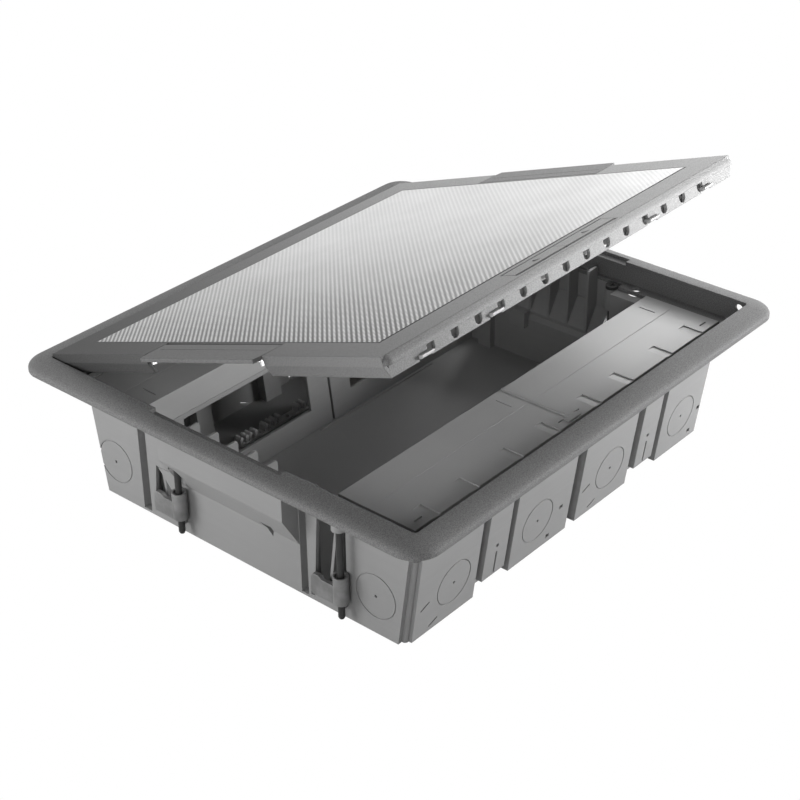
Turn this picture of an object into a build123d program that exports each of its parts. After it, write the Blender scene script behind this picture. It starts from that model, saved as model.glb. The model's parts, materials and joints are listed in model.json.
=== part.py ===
"""Floor socket box with a hinged lid, four cable-space covers and four clamping claws.

Millimetres. X runs along the hinge, +Y points to the hinge side, +Z is up.
The origin is the middle of the underside of the body. The lid group is
drawn closed and then turned open by REST_OPEN about the hinge axis.
Anything that belongs to one side wall is drawn once and copied by a half turn.
"""
import os
from math import acos, atan, cos, degrees, radians, sin, tan

from build123d import *

os.makedirs("parts", exist_ok=True)

# Overall sizes
FRAME_X = 342.0
FRAME_Y = 306.0
RIM = 14.5
CORNER_R = 16.5
WALL = 2.5
FLOOR = 2.5
BODY_TOP = 72.9
REST_OPEN = 19.55

# Running and seating clearances
TURN_FIT = 0.05
PIN_FIT = 0.02
SLOT_GAP = 0.6

# Body
OPEN_X = FRAME_X / 2 - RIM
OPEN_Y = FRAME_Y / 2 - RIM
BODY_SET_X = 12.9
BODY_SET_Y = 8.9
BODY_LEAN = 10.0
BODY_X = OPEN_X - BODY_SET_X
BODY_Y_TOP = OPEN_Y - BODY_SET_Y
BODY_Y_FOOT = BODY_Y_TOP - BODY_LEAN
FLANGE_T = 2.4
GROOVE_Y_DEPTH = 7.0
GROOVE_X_DEPTH = 5.0
KNOCKOUT_R = 14.2
NOTCH_X = 5.5
NOTCH_Y = 4.6
FLANGE_LOW = BODY_TOP - FLANGE_T

# Mounting frame
LEDGE_TOP = BODY_TOP + FLANGE_T
RIM_RISE = 5.3
RIM_EDGE_T = 1.5
RIM_UNDER = 10.1
FLANGE_Z = BODY_TOP + RIM_UNDER
RIM_EDGE_Z = FLANGE_Z + RIM_EDGE_T
TOP_Z = RIM_EDGE_Z + RIM_RISE
SKIN = 2.0
RECESS_WALL = 2.2
LIP_W = 1.6
LEDGE_X = BODY_X - WALL
WIDE_LEDGE_X = BODY_X + 5.0
LEDGE_Y = BODY_Y_TOP - WALL - 0.1
WEB_T = 1.6
FIX_X = OPEN_X - 3.5
FIX_Y = 61.0
FIX_R = 3.0
FIX_ROOM = 2.5
BODY_FLANGE_X = OPEN_X - 1.0
BODY_FLANGE_Y = OPEN_Y - 2.5
FRAME_SCREW_R = 1.5
FRAME_SCREW_HEAD = 2.9
FRAME_SCREW_SINK = 1.4
FRAME_SCREW_X = 35.0
FRAME_SCREW_Y = BODY_FLANGE_Y - 3.8
BOSS_LOW = FLANGE_LOW - 3.5

# Clamps
CLAMP_X = BODY_X + 5.4
NEAR_Y = 45.0
FAR_Y = 79.6
SCREW_R = 2.0
SCREW_TIP = 3.4
TIP_H = 1.2
HEAD_R = 4.1
HEAD_H = 2.2
HUB_R = 4.4
HUB_Z0 = 14.0
HUB_Z1 = 31.8
CLAW_Z0 = 8.0
CLAW_Z1 = 21.0
CLAW_REACH = 24.0
CLAW_T = 2.8
NUT_R = 3.3
NUT_H = 5.0
NUT_SINK = 1.5
TUBE_R = 4.3
HUB_ROOM = 0.5
TUBE_LOW = 58.0
SLEEVE_LOW = 62.0

# Cable channel that bulges out of each X wall
CHANNEL_IN = CLAMP_X + TUBE_R + 0.2
CHANNEL_OUT = CHANNEL_IN + WALL
CHANNEL_LOW = 33.0
CHANNEL_HIGH = 54.0
CHANNEL_Y1 = NEAR_Y + TUBE_R - 0.2 + WALL
CHANNEL_Y0 = -44.6
CHANNEL_OPEN_Y = NEAR_Y + TUBE_R + 0.7
FIN_PITCH = 15.0
FIN_T = 1.6
FIN_TOP = LEDGE_TOP + 6.7
FIN_X = BODY_X - 0.4

# Hinge
HINGE_Y = OPEN_Y + 2.8
HINGE_Z = TOP_Z - 5.6
ARM_X = 106.0
ARM_W = 12.0
ARM_T = 2.5
ARM_GAP = 0.6
ARM_DROP = 6.0
ARM_REACH = 11.5
PIN_R = 1.5
BARREL_R = 2.8
LUG_T = 3.5

# Lid
LID_GAP = 1.2
LID_X = OPEN_X - LID_GAP
LID_FRONT = -OPEN_Y + LID_GAP
LID_BACK = OPEN_Y - 2.0
LID_T = 3.0
LID_CORNER_R = 4.0
LID_EDGE_R = 4.4
LID_LIFT = 2.3
LID_LOW = LEDGE_TOP + LID_LIFT
SKIRT_T = 2.2
SKIRT_SET = 3.0
LIP_H = 5.0
LIP_LOW = TOP_Z - LIP_H
BEVEL_TOP = TOP_Z - 5.4
SKIRT_FRONT = LID_FRONT + SKIRT_SET
SKIRT_BACK = LID_BACK - 1.8
SLOT_PITCH = 18.65
SLOT_R = 2.9
SLOT_LOW = LIP_LOW - 3.3
INSERT_X = LID_X - 18.1
INSERT_Y0 = LID_FRONT + 21.3
INSERT_Y1 = LID_BACK - 18.9
INSERT_T = 1.8
INSERT_GAP = 0.1
INSERT_JOINT = 0.6
CORE_X = INSERT_X - 0.2
CORE_Y0 = INSERT_Y0 + 3.0
CORE_Y1 = INSERT_Y1 + 2.4
CORE_T = 1.5
BEAD_H = 1.4
UNDER_PLATE = TOP_Z - LID_T
UNDER_CORE = UNDER_PLATE - CORE_T
LID_SCREW_R = 1.2
LID_SCREW_HEAD = 2.4
CORE_SCREW_X = CORE_X - 12.0
CORE_SCREW_Y0 = CORE_Y0 + 13.0
CORE_SCREW_Y1 = CORE_Y1 - 20.0
CORE_SCREW_MID = 45.0
BEAD_X = 85.0
BEAD_Y0 = CORE_Y0 + 28.0
BEAD_Y1 = CORE_Y1 - 35.0

# Cable flaps in the lid
KNUCKLE_R = 2.2
FLAP_GAP = 0.4
FLAP_CUT_X = INSERT_X + 1.0
FLAP_CUT_Y = 48.5
FLAP_T = 2.2
FLAP_Y = FLAP_CUT_Y - FLAP_GAP
FLAP_AXIS_X = FLAP_CUT_X + KNUCKLE_R + FLAP_GAP
FLAP_AXIS_Z = TOP_Z - FLAP_T
FLAP_EDGE_X = OPEN_X + 3.9
FLAP_PIN_R = 1.0
FLAP_PIN_SEAT = 3.1
EAR_LOW = FLAP_AXIS_Z - 4.1

# Lift handles and latch
HANDLE_CUT_X = 45.2
HANDLE_CUT_Y0 = LID_FRONT + 5.1
HANDLE_CUT_Y1 = INSERT_Y0 - 3.7
HANDLE_AXIS_Y = HANDLE_CUT_Y0 + KNUCKLE_R + FLAP_GAP
HANDLE_AXIS_Z = TOP_Z - 2.8
HANDLE_PIN_R = 0.9
HANDLE_PIN_SEAT = 3.8
HANDLE_T = 2.0
HANDLE_GAP = 0.9
HANDLE_END = HANDLE_CUT_X - 0.7
LEG_X = (12.0, 32.0)
LEG_H = 5.2
COVER_RISE = 1.2
COVER_TOP = LEDGE_TOP + COVER_RISE
BAR_Z0 = LID_LOW + 0.9
BAR_Z1 = BAR_Z0 + 4.0
BAR_Y0 = SKIRT_FRONT + SKIRT_T + SLOT_GAP
BAR_Y1 = BAR_Y0 + 7.0
BAR_MID = (BAR_Z0 + BAR_Z1) / 2
BAR_NOTCH_Y = BAR_Y0 + 4.2
TONGUE_X = (71.0, 126.5)
TONGUE_W = 9.0
TONGUE_GAP = 0.3
TONGUE_OUT = 2.6
TONGUE_Z0 = BAR_Z0 + 0.1
TONGUE_Z1 = TONGUE_Z0 + 2.2
KEEPER_IN = SKIRT_FRONT - 1.7
KEEPER_H = 2.4
SPRING_X = (50.0, 110.0)
SPRING_R = 1.25
SPRING_WIRE = 0.25
SPRING_H = 8.4
POCKET_R = SPRING_R + SPRING_WIRE + 0.25
RIB_Y = INSERT_Y0
RIB_T = 2.0

# Covers and dividers of the two socket spaces
COVER_T = 2.2
COVER_IN = 71.8
COVER_OUT = LEDGE_Y - 2.5
COVER_END = LEDGE_X - 0.7
WIDE_COVER_END = WIDE_LEDGE_X - 0.8
COVER_SPLIT = 0.15
DIVIDER_TOP = 60.0
DIVIDER_T = 2.0
DIVIDER_FOOT_Y = 61.9
DIVIDER_SPLIT = 1.0
DIVIDER_END = BODY_X - WALL - 0.2
FOOT_W = 9.0
LIP_END = DIVIDER_TOP + 0.2
CLIP_Y = (COVER_OUT - 4.5, COVER_OUT - 1.5)


# Shape helpers
def block(x0, x1, y0, y1, z0, z1):
    middle = Pos((x0 + x1) / 2, (y0 + y1) / 2, (z0 + z1) / 2)
    return middle * Box(abs(x1 - x0), abs(y1 - y0), abs(z1 - z0))


def rod_x(x0, x1, y, z, r):
    return Pos((x0 + x1) / 2, y, z) * Rot(0, 90, 0) * Cylinder(r, abs(x1 - x0))


def rod_y(x, y0, y1, z, r):
    return Pos(x, (y0 + y1) / 2, z) * Rot(90, 0, 0) * Cylinder(r, abs(y1 - y0))


def rod_z(x, y, z0, z1, r):
    return Pos(x, y, (z0 + z1) / 2) * Cylinder(r, abs(z1 - z0))


def prism_x(points, x0, x1):
    face = Plane.YZ.offset(x0) * Polygon(*points, align=None)
    return extrude(face, amount=x1 - x0, dir=(1, 0, 0))


def prism_y(points, y0, y1):
    face = Plane.XZ.offset(-y0) * Polygon(*points, align=None)
    return extrude(face, amount=y1 - y0, dir=(0, 1, 0))


def prism_z(points, z0, z1):
    face = Plane.XY.offset(z0) * Polygon(*points, align=None)
    return extrude(face, amount=z1 - z0, dir=(0, 0, 1))


def half_turn(shape):
    return Rot(0, 0, 180) * shape


def with_half_turn(shapes):
    return list(shapes) + [half_turn(s) for s in shapes]


def mirrored_x(shape):
    return mirror(shape, about=Plane.YZ)


def lid_open(shape):
    to_axis = Pos(0, -HINGE_Y, -HINGE_Z)
    back = Pos(0, HINGE_Y, HINGE_Z)
    return back * Rot(-REST_OPEN, 0, 0) * to_axis * shape


def group(shapes):
    return Compound(children=[s for shape in shapes for s in shape.solids()])


def save(shape, name):
    export_step(shape, f"parts/{name}.step")


# Body of the box
def wall_y(z):
    return BODY_Y_FOOT + (BODY_Y_TOP - BODY_Y_FOOT) * z / BODY_TOP


def front_slab(x0, x1, outward, inward, z0, z1):
    """Block that follows the slanted front wall between two depths from its face."""
    points = [
        (-wall_y(z0) - outward, z0),
        (-wall_y(z1) - outward, z1),
        (-wall_y(z1) + inward, z1),
        (-wall_y(z0) + inward, z0),
    ]
    return prism_x(points, x0, x1)


def tub_shell():
    inner_foot = wall_y(FLOOR) - WALL
    inner_top = wall_y(BODY_TOP + 1) - WALL
    foot = BODY_Y_FOOT
    top = BODY_Y_TOP
    outer = prism_x([(-foot, 0), (foot, 0), (top, BODY_TOP), (-top, BODY_TOP)], -BODY_X, BODY_X)
    brim = block(-BODY_FLANGE_X, BODY_FLANGE_X, -BODY_FLANGE_Y, BODY_FLANGE_Y, FLANGE_LOW, BODY_TOP)
    hollow = prism_x(
        [
            (-inner_foot, FLOOR),
            (inner_foot, FLOOR),
            (inner_top, BODY_TOP + 1),
            (-inner_top, BODY_TOP + 1),
        ],
        -BODY_X + WALL,
        BODY_X - WALL,
    )
    bulge = prism_y(
        [
            (-BODY_X + 1, CHANNEL_LOW - 1),
            (-BODY_X, CHANNEL_LOW),
            (-CHANNEL_OUT, CHANNEL_HIGH),
            (-CHANNEL_OUT, BODY_TOP),
            (-BODY_X + 1, BODY_TOP),
        ],
        CHANNEL_Y0,
        CHANNEL_Y1,
    )
    channel = prism_y(
        [
            (-BODY_X + WALL, CHANNEL_LOW),
            (-CHANNEL_IN, CHANNEL_HIGH),
            (-CHANNEL_IN, BODY_TOP + 1),
            (-BODY_X + WALL + 2, BODY_TOP + 1),
            (-BODY_X + WALL + 2, CHANNEL_LOW),
        ],
        CHANNEL_Y0 + WALL,
        CHANNEL_Y1 - WALL,
    )
    shell = outer + [brim] + with_half_turn([bulge])
    return shell - [hollow] - with_half_turn([channel])


# x ranges of the upright grooves in the front wall, and of the narrow panels between them
FRONT_GROOVES = ((-86.0, -79.5), (-59.5, -54.5), (0.0, 9.0), (61.0, 68.5), (87.5, 93.0))
NARROW_PANELS = ((-79.5, -59.5), (68.5, 87.5))
PANEL_FOOT = 7.0
# Triangular hole where the cable channel is latched, with a closed pocket behind it
LATCH_HOLE = [(-16.4, 36.8), (-24.6, 29.4), (-25.7, 37.2)]
POCKET_DEPTH = 5.5
# y ranges of the grooves in the left wall
SIDE_GROOVES = ((76.5, 83.0), (-50.3, -45.0))
SIDE_GROOVE_FOOT = 1.6


def groove_backing():
    """Inner wall that is set back with the grooves and the corner notches."""
    backing = []
    for x0, x1 in FRONT_GROOVES:
        depth = GROOVE_Y_DEPTH + WALL
        backing.append(front_slab(x0 - WALL, x1 + WALL, -1, depth, 1, FLANGE_LOW + 1))
    for x0, x1 in NARROW_PANELS:
        depth = GROOVE_Y_DEPTH + WALL
        backing.append(front_slab(x0 - 1, x1 + 1, -1, depth, 1, PANEL_FOOT + WALL))
    for y0, y1 in SIDE_GROOVES:
        inner = -BODY_X + GROOVE_X_DEPTH + WALL
        backing.append(block(-BODY_X + 1, inner, y0 - WALL, y1 + WALL, 1, FLANGE_LOW + 1))
    corner_in = BODY_X - NOTCH_X - WALL
    for side in (-1, 1):
        x0, x1 = sorted((side * corner_in, side * (BODY_X - 1)))
        backing.append(front_slab(x0, x1, -1, NOTCH_Y + WALL, 1, FLANGE_LOW + 1))
    return with_half_turn(backing)


def groove_cuts():
    cuts = []
    for x0, x1 in FRONT_GROOVES:
        cuts.append(front_slab(x0, x1, 2, GROOVE_Y_DEPTH, -1, FLANGE_LOW))
    for x0, x1 in NARROW_PANELS:
        cuts.append(front_slab(x0 - 1, x1 + 1, 2, GROOVE_Y_DEPTH, -1, PANEL_FOOT))
    for y0, y1 in SIDE_GROOVES:
        far = -CHANNEL_OUT - 1 if y0 > 0 else -BODY_X - 1
        cuts.append(block(far, -BODY_X + GROOVE_X_DEPTH, y0, y1, SIDE_GROOVE_FOOT, FLANGE_LOW))
    for side in (-1, 1):
        x0, x1 = sorted((side * (BODY_X - NOTCH_X), side * (BODY_X + 1)))
        cuts.append(front_slab(x0, x1, 2, NOTCH_Y, -1, FLANGE_LOW))
    return with_half_turn(cuts)


def corner_ribs():
    """Rounded upright rib inside each corner notch, leaning with the front wall."""
    lean = (0, -tan(atan((BODY_Y_TOP - BODY_Y_FOOT) / BODY_TOP)), 1)
    length = FLANGE_LOW / cos(atan((BODY_Y_TOP - BODY_Y_FOOT) / BODY_TOP))
    ribs = []
    for side in (-1, 1):
        x = side * (BODY_X - NOTCH_X + 0.6)
        disc = Pos(x, -BODY_Y_FOOT + NOTCH_Y - 0.6, 0) * Circle(2.0)
        ribs.append(extrude(disc, amount=length, dir=lean))
    return with_half_turn(ribs)


def knockout(place):
    ring = Cylinder(KNOCKOUT_R, 1.0) - Cylinder(KNOCKOUT_R - 0.7, 2.0)
    return [place * ring, place * Cylinder(0.9, 2.4)]


def front_place(x, z):
    slant = degrees(atan((BODY_Y_TOP - BODY_Y_FOOT) / BODY_TOP))
    return Pos(x, -wall_y(z), z) * Rot(90 + slant, 0, 0)


def front_wall_cuts():
    cuts = []
    for x, z in ((-106.5, 23.6), (-31.8, 23.4), (39.0, 23.5), (115.0, 23.2)):
        cuts += knockout(front_place(x, z))
    for x, z in ((-130.3, 20.7), (-121.3, 4.6), (15.7, 20.8), (24.8, 4.8)):
        cuts.append(Pos(x, -wall_y(z), z) * Rot(0, -24, 0) * Box(7.4, 8, 1.0))
    for x, z in ((-9.0, 20.9), (-18.4, 4.9), (136.0, 19.7), (129.6, 4.9)):
        cuts.append(Pos(x, -wall_y(z), z) * Box(3.2, 8, 2.6))
    outside, inside = -BODY_Y_TOP - 5.0, -BODY_Y_FOOT + 9.6
    for x in (-69.3, 77.6):
        cuts.append(rod_y(x, outside, inside, 27.7, 1.2))
        cuts.append(block(x - 0.7, x + 0.7, outside, inside, 8.0, 23.4))
    return with_half_turn(cuts)


def side_wall_cuts():
    """Openings in the left wall: knock-outs, claw windows and the latch of the channel."""
    cuts = []
    for y, z in ((105.3, 24.5), (-99.7, 24.6)):
        cuts += knockout(Pos(-BODY_X, y, z) * Rot(0, 90, 0))
    through = (-BODY_X - 1, -BODY_X + WALL + 1)
    near_window = [(71.7, 14.2), (69.3, 37.0), (66.8, 36.5), (57.1, 25.7), (52.0, 22.0), (52.0, 14.2)]
    cuts.append(prism_x(near_window, *through))
    far_window = [(-55.6, 14.0), (-57.6, 46.4), (-59.2, 68.0), (-79.0, 68.0), (-79.0, 14.0)]
    cuts.append(prism_x(far_window, *through))
    for y0, y1, z0, z1 in ((70.9, 73.4, 6.6, 12.0), (-55.0, -52.0, 3.0, 9.5)):
        cuts.append(block(-BODY_X - 1, -BODY_X + 1.2, y0, y1, z0, z1))
    cuts.append(prism_x(LATCH_HOLE, -BODY_X - 4, -BODY_X + POCKET_DEPTH))
    cuts.append(rod_z(-CLAMP_X, NEAR_Y, CHANNEL_LOW - 3, TUBE_LOW, HUB_R + HUB_ROOM))
    return with_half_turn(cuts)


def channel_comb(side):
    """Five fins on a sloped strip that rests on the slope of the cable channel."""
    x_out = CHANNEL_IN - TURN_FIT
    slope = (CHANNEL_HIGH - CHANNEL_LOW) / (CHANNEL_IN - BODY_X + WALL)

    def floor_z(x):
        return CHANNEL_LOW + slope * (x - BODY_X + WALL) + 2 * TURN_FIT

    strip = [
        (-FIN_X, floor_z(FIN_X)),
        (-x_out, floor_z(x_out)),
        (-x_out, floor_z(x_out) + 2.0),
        (-FIN_X, floor_z(FIN_X) + 2.0),
    ]
    reach = 2 * FIN_PITCH + FIN_T / 2
    comb = prism_y(strip, -reach, reach)
    for step in range(-2, 3):
        y = step * FIN_PITCH
        fin = prism_y(
            [
                (-FIN_X, floor_z(FIN_X)),
                (-x_out, floor_z(x_out)),
                (-x_out, BODY_TOP - 0.5),
                (-x_out + 0.25, BODY_TOP - 0.5),
                (-x_out + 0.25, FIN_TOP - 1.2),
                (-x_out + 1.45, FIN_TOP),
                (-FIN_X - 2.0, FIN_TOP),
                (-FIN_X - 0.5, FIN_TOP - 0.6),
                (-FIN_X, FIN_TOP - 2.2),
            ],
            y - FIN_T / 2,
            y + FIN_T / 2,
        )
        comb = comb + fin
    return comb if side < 0 else half_turn(comb)


def clamp_guides():
    """Tube in the channel for one screw, sleeve under the brim for the other."""
    tube = rod_z(-CLAMP_X, NEAR_Y, TUBE_LOW, BODY_TOP, TUBE_R)
    web = block(-CHANNEL_IN - 1, -CLAMP_X, NEAR_Y - 1, NEAR_Y + 1, TUBE_LOW, BODY_TOP)
    end_web = block(-CLAMP_X - 1, -CLAMP_X + 1, NEAR_Y, CHANNEL_Y1 - 1, TUBE_LOW, BODY_TOP)
    sleeve = rod_z(-CLAMP_X, -FAR_Y, SLEEVE_LOW, FLANGE_LOW + 1, TUBE_R)
    rib_y = -FAR_Y - TUBE_R + 0.8
    rib = block(-CLAMP_X, -BODY_X + 1, rib_y, rib_y + 2, SLEEVE_LOW, FLANGE_LOW + 1)
    return with_half_turn([tube, web, end_web, sleeve, rib])


def clamp_bores():
    bores = [
        rod_z(-CLAMP_X, NEAR_Y, TUBE_LOW - 1, BODY_TOP + 1, SCREW_R + 0.2),
        rod_z(-CLAMP_X, -FAR_Y, SLEEVE_LOW - 1, BODY_TOP + 1, SCREW_R + 0.2),
    ]
    return with_half_turn(bores)


FRAME_SCREWS = [(sx * FRAME_SCREW_X, sy * FRAME_SCREW_Y) for sx in (-1, 1) for sy in (-1, 1)]
FIXINGS = [(sx * FIX_X, sy * FIX_Y) for sx in (-1, 1) for sy in (-1, 1)]


def body_details():
    """Cover rails, screw bosses, floor seam, window web and the pocket behind the latch hole."""
    end = COVER_END - 7.4
    inner = COVER_OUT - 2.9
    low = FLANGE_LOW - 4.5
    gusset = [(-LEDGE_Y - 1, low), (-LEDGE_Y - 1, FLANGE_LOW), (-inner, FLANGE_LOW), (-COVER_OUT, low)]
    rail_low = prism_x(gusset, -end, end)
    rail = block(-end, end, -LEDGE_Y + 0.4, -inner, FLANGE_LOW - 1, COVER_TOP - COVER_T)
    web = [(66.8, 36.5), (53.6, 37.9), (45.5, 27.9), (57.1, 25.7)]
    facet = prism_x(web, -BODY_X - 0.5, -BODY_X + WALL)
    seam = block(-15.0, 95.0, 59.2, 60.2, FLOOR - 0.5, FLOOR + 0.7)
    pocket = block(-BODY_X + 1, -BODY_X + POCKET_DEPTH + 1.5, -27.5, -14.5, 27.5, 39.0)
    details = with_half_turn([rail_low, rail, facet, seam, pocket])
    for x, y in FRAME_SCREWS:
        details.append(rod_z(x, y, BOSS_LOW, FLANGE_LOW + 1, FRAME_SCREW_HEAD + 0.5))
    return details


def box_body():
    body = tub_shell() + groove_backing()
    body = body - groove_cuts()
    body = body + corner_ribs() + body_details() + clamp_guides()
    bores = [rod_z(x, y, BOSS_LOW - 1, BODY_TOP + 1, FRAME_SCREW_R) for x, y in FRAME_SCREWS]
    fixing = [rod_z(x, y, FLANGE_LOW - 1, BODY_TOP + 1, FIX_R + FIX_ROOM) for x, y in FIXINGS]
    cuts = front_wall_cuts() + side_wall_cuts() + clamp_bores() + bores + fixing
    return body - cuts


# Mounting frame
def rim_section():
    """Section of the rim: x is the distance from the corner centre line, y is height."""
    inner = CORNER_R - RIM
    span = RIM
    rise = TOP_Z - RIM_EDGE_Z
    wall_out = inner + RECESS_WALL
    lip_in = CORNER_R - LIP_W
    a_wall = degrees(acos((wall_out - inner) / span))
    a_lip = degrees(acos((lip_in - inner) / span))
    low = RIM_EDGE_Z - SKIN
    under_wall = low + rise * sin(radians(a_wall))
    under_lip = low + rise * sin(radians(a_lip))
    edges = [
        EllipticalCenterArc((inner, RIM_EDGE_Z), span, rise, start_angle=0, arc_size=90),
        Line((inner, TOP_Z), (inner, BODY_TOP)),
        Line((inner, BODY_TOP), (wall_out, BODY_TOP)),
        Line((wall_out, BODY_TOP), (wall_out, under_wall)),
        EllipticalCenterArc((inner, low), span, rise, start_angle=a_lip, arc_size=a_wall - a_lip),
        Line((lip_in, under_lip), (lip_in, FLANGE_Z)),
        Line((lip_in, FLANGE_Z), (CORNER_R, FLANGE_Z)),
        Line((CORNER_R, FLANGE_Z), (CORNER_R, RIM_EDGE_Z)),
    ]
    return make_face(edges)


def rim_ring():
    section = rim_section()
    cx = FRAME_X / 2 - CORNER_R
    cy = FRAME_Y / 2 - CORNER_R
    upright = Plane.XZ * section
    corner = revolve(upright, axis=Axis.Z, revolution_arc=90)
    pieces = []
    for turn, x, y in ((0, cx, cy), (90, -cx, cy), (180, -cx, -cy), (270, cx, -cy)):
        pieces.append(Pos(x, y, 0) * Rot(0, 0, turn) * corner)
    right = Pos(cx, -cy, 0) * extrude(upright, amount=2 * cy, dir=(0, 1, 0))
    top = Pos(0, cy, 0) * Rot(0, 0, 90) * Pos(0, -cx, 0)
    back = top * extrude(upright, amount=2 * cx, dir=(0, 1, 0))
    pieces += [right, half_turn(right), back, half_turn(back)]
    ring = pieces[0]
    for piece in pieces[1:]:
        ring = ring + piece
    return ring


def hinge_xs():
    return (-ARM_X, ARM_X)


def rim_webs():
    """Stiffening webs inside the hollow rim."""
    web_low = FLANGE_Z + 1.9
    web_high = FLANGE_Z + 4.0
    half = WEB_T / 2
    webs = []
    for sx in (-1, 1):
        for y in (-105, -70, 70, 105):
            x0, x1 = sorted((sx * (OPEN_X + 1), sx * (FRAME_X / 2 - 1)))
            webs.append(block(x0, x1, y - half, y + half, FLANGE_Z, web_low))
            x0, x1 = sorted((sx * (OPEN_X + 1), sx * (FRAME_X / 2 - 3.6)))
            webs.append(block(x0, x1, y - half, y + half, web_low - 1, web_high))
    for sy in (-1, 1):
        for x in (-145, -40, 0, 40, 145):
            y0, y1 = sorted((sy * (OPEN_Y + 1), sy * (FRAME_Y / 2 - 1)))
            webs.append(block(x - half, x + half, y0, y1, FLANGE_Z, web_low))
            y0, y1 = sorted((sy * (OPEN_Y + 1), sy * (FRAME_Y / 2 - 3.6)))
            webs.append(block(x - half, x + half, y0, y1, web_low - 1, web_high))
    return webs


def mounting_frame():
    frame = rim_ring()
    plate = block(-OPEN_X - 1, OPEN_X + 1, -OPEN_Y - 1, OPEN_Y + 1, BODY_TOP, LEDGE_TOP)
    middle = block(-LEDGE_X, LEDGE_X, -LEDGE_Y, LEDGE_Y, BODY_TOP - 1, LEDGE_TOP + 1)
    open_y = CHANNEL_OPEN_Y
    channel = block(-CHANNEL_IN, CHANNEL_IN, -open_y, open_y, BODY_TOP - 1, LEDGE_TOP + 1)
    wide = block(LEDGE_X - 1, WIDE_LEDGE_X, -LEDGE_Y, -open_y + 1, BODY_TOP - 1, LEDGE_TOP + 1)
    frame = frame + (plate - ([middle, channel] + with_half_turn([wide])))
    added = rim_webs()
    flap_seat = TOP_Z - FLAP_T - FLAP_GAP
    for sx in (-1, 1):
        x0, x1 = sorted((sx * (OPEN_X + 1), sx * (FLAP_EDGE_X + 2)))
        added.append(block(x0, x1, -FLAP_CUT_Y - 2.5, FLAP_CUT_Y + 2.5, flap_seat - 2.8, flap_seat + 1))
        for x in TONGUE_X:
            mid = sx * x
            keeper_z = TONGUE_Z1 + 0.4
            added.append(block(mid - 6, mid + 6, -OPEN_Y - 0.5, KEEPER_IN, keeper_z, keeper_z + KEEPER_H))
        x0, x1 = sorted((sx * 50.0, sx * 56.0))
        added.append(block(x0, x1, KEEPER_IN, SKIRT_FRONT + 2.8, LEDGE_TOP - 1, LID_LOW - 0.1))
    for x in hinge_xs():
        for side in (-1, 1):
            inner = x + side * (ARM_W / 2 + ARM_GAP)
            x0, x1 = sorted((inner, inner + side * LUG_T))
            added.append(block(x0, x1, OPEN_Y + 0.5, HINGE_Y + 3.7, HINGE_Z - 4.2, HINGE_Z + 3.8))
    frame = frame + added

    cuts = []
    for sx in (-1, 1):
        x0, x1 = sorted((sx * (OPEN_X - 1), sx * (FLAP_EDGE_X + 0.8)))
        cuts.append(block(x0, x1, -FLAP_CUT_Y - 1, FLAP_CUT_Y + 1, flap_seat, TOP_Z + 1))
        x0, x1 = sorted((sx * (OPEN_X - 1), sx * (OPEN_X + RECESS_WALL + 1)))
        cuts.append(rod_x(x0, x1, -sx * (OPEN_Y - 5.5), TOP_Z - 5.2, 2.8))
    for x in hinge_xs():
        half = ARM_W / 2 + ARM_GAP
        deep = OPEN_Y + RECESS_WALL + 1
        cuts.append(block(x - half, x + half, OPEN_Y - 1, deep, LEDGE_TOP, HINGE_Z + 3.4))
        cuts.append(rod_x(x - ARM_W, x + ARM_W, HINGE_Y, HINGE_Z, PIN_R + PIN_FIT))
    for x, y in FRAME_SCREWS:
        cuts.append(rod_z(x, y, BODY_TOP - 1, LEDGE_TOP + 1, FRAME_SCREW_R + 0.2))
        cuts.append(rod_z(x, y, LEDGE_TOP - FRAME_SCREW_SINK, LEDGE_TOP + 1, FRAME_SCREW_HEAD + 0.3))
    for sx, sy in ((-1, -1), (1, 1)):
        cuts.append(rod_z(sx * CLAMP_X, sy * FAR_Y, BODY_TOP - 1, LEDGE_TOP + 1, HEAD_R + 0.3))
    for x, y in FIXINGS:
        cuts.append(rod_z(x, y, BODY_TOP - 1, LEDGE_TOP + 1, FIX_R))
    return frame - cuts


def cross_slot(x, y, top, size):
    return [
        block(x - size, x + size, y - 0.5, y + 0.5, top - 0.8, top + 1),
        block(x - 0.5, x + 0.5, y - size, y + size, top - 0.8, top + 1),
    ]


def frame_screws():
    top = LEDGE_TOP - 0.1
    screws = []
    for x, y in FRAME_SCREWS:
        head = rod_z(x, y, LEDGE_TOP - FRAME_SCREW_SINK, top, FRAME_SCREW_HEAD)
        shank = rod_z(x, y, BOSS_LOW + 0.5, LEDGE_TOP - 1, FRAME_SCREW_R)
        screws.append((head + shank) - cross_slot(x, y, top, 1.8))
    return group(screws)


# Lid
CORE_SCREW_COLUMNS = (-CORE_SCREW_X, -CORE_SCREW_MID, CORE_SCREW_MID, CORE_SCREW_X)
CORE_SCREWS = [(x, y) for x in CORE_SCREW_COLUMNS for y in (CORE_SCREW_Y0, 0.0, CORE_SCREW_Y1)]
ARM_SCREWS = [(sx * ARM_X + dx, CORE_Y1 - 5.0) for sx in (-1, 1) for dx in (-3.2, 3.2)]
LID_SCREWS = CORE_SCREWS + ARM_SCREWS


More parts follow.
